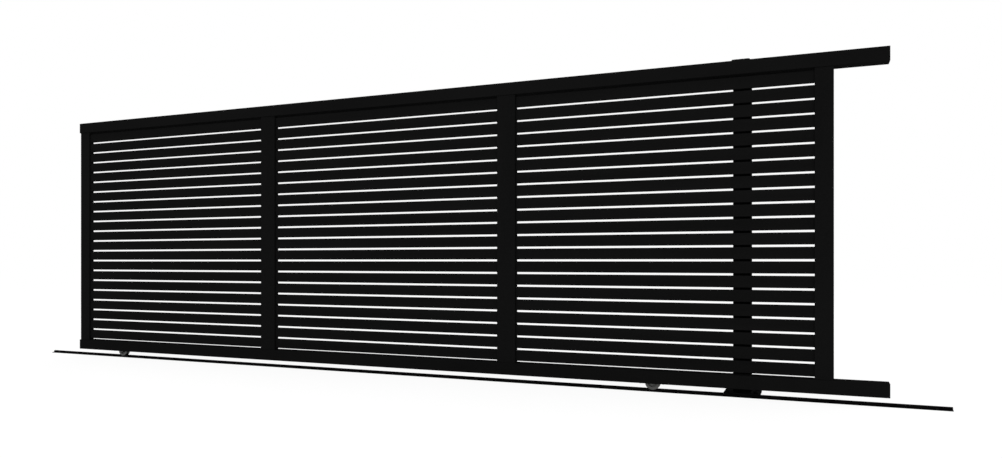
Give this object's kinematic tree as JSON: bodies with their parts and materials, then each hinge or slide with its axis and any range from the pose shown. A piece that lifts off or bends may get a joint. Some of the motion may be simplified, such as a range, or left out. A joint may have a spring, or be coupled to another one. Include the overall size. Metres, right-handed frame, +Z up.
{
  "type": "sliding driveway gate",
  "caption": "Black aluminium sliding gate leaf with horizontal slats, rolling on a ground track on grooved wheels and held upright by a guide post with rollers.",
  "frame": {"origin": "centre of the underside of the guide post's base plate, on the ground", "axes": "+X along the gate towards its tail, the way the leaf opens; +Y from the leaf towards the post; +Z up"},
  "size_m": [5.553, 0.232, 1.6114],
  "materials": {
    "coated_aluminium": "satin black powder coat",
    "coated_steel": "satin black paint",
    "wheel_steel": "turned steel, dull dark grey",
    "zinc_plated_steel": "zinc plated, dull",
    "roller_nylon": "turned black nylon",
    "cap_plastic": "moulded black plastic, fine grain"
  },
  "bodies": {
    "ground": {"ground_track": "coated_steel", "guide_post": "coated_steel", "post_base_plate": "coated_steel", "guide_plate": "coated_steel", "roller_pin_left": "zinc_plated_steel", "roller_pin_right": "zinc_plated_steel", "guide_roller_left": "roller_nylon", "guide_roller_right": "roller_nylon"},
    "leaf": {"top_rail": "coated_aluminium", "bottom_rail": "coated_aluminium", "closing_stile": "coated_aluminium", "mullion_left": "coated_aluminium", "mullion_right": "coated_aluminium", "rear_stile": "coated_aluminium", "slats_left_bay": "coated_aluminium", "slats_middle_bay": "coated_aluminium", "slats_right_bay": "coated_aluminium", "top_rail_cap_closing": "cap_plastic", "top_rail_cap_tail": "cap_plastic", "bottom_rail_cap_closing": "cap_plastic", "bottom_rail_cap_tail": "cap_plastic", "wheel_carrier_left": "zinc_plated_steel", "wheel_carrier_right": "zinc_plated_steel", "axle_left": "zinc_plated_steel", "axle_right": "zinc_plated_steel"},
    "wheel_left": {"wheel_left": "wheel_steel"},
    "wheel_right": {"wheel_right": "wheel_steel"}
  },
  "joints": [
    {"name": "leaf_slide", "type": "slide", "parent": "ground", "child": "leaf", "axis": [1, 0, 0], "range_m": [0, 1.25]},
    {"name": "wheel_left_spin", "type": "hinge", "parent": "leaf", "child": "wheel_left", "pos_m": [-4.0015, -0.109, 0.0448], "axis": [0, 1, 0], "continuous": true},
    {"name": "wheel_right_spin", "type": "hinge", "parent": "leaf", "child": "wheel_right", "pos_m": [-0.4185, -0.109, 0.0448], "axis": [0, 1, 0], "continuous": true}
  ],
  "couplings": [
    {"joint": "wheel_left_spin", "follows": "leaf_slide", "rad_per_m": 34.13},
    {"joint": "wheel_right_spin", "follows": "leaf_slide", "rad_per_m": 34.13}
  ]
}
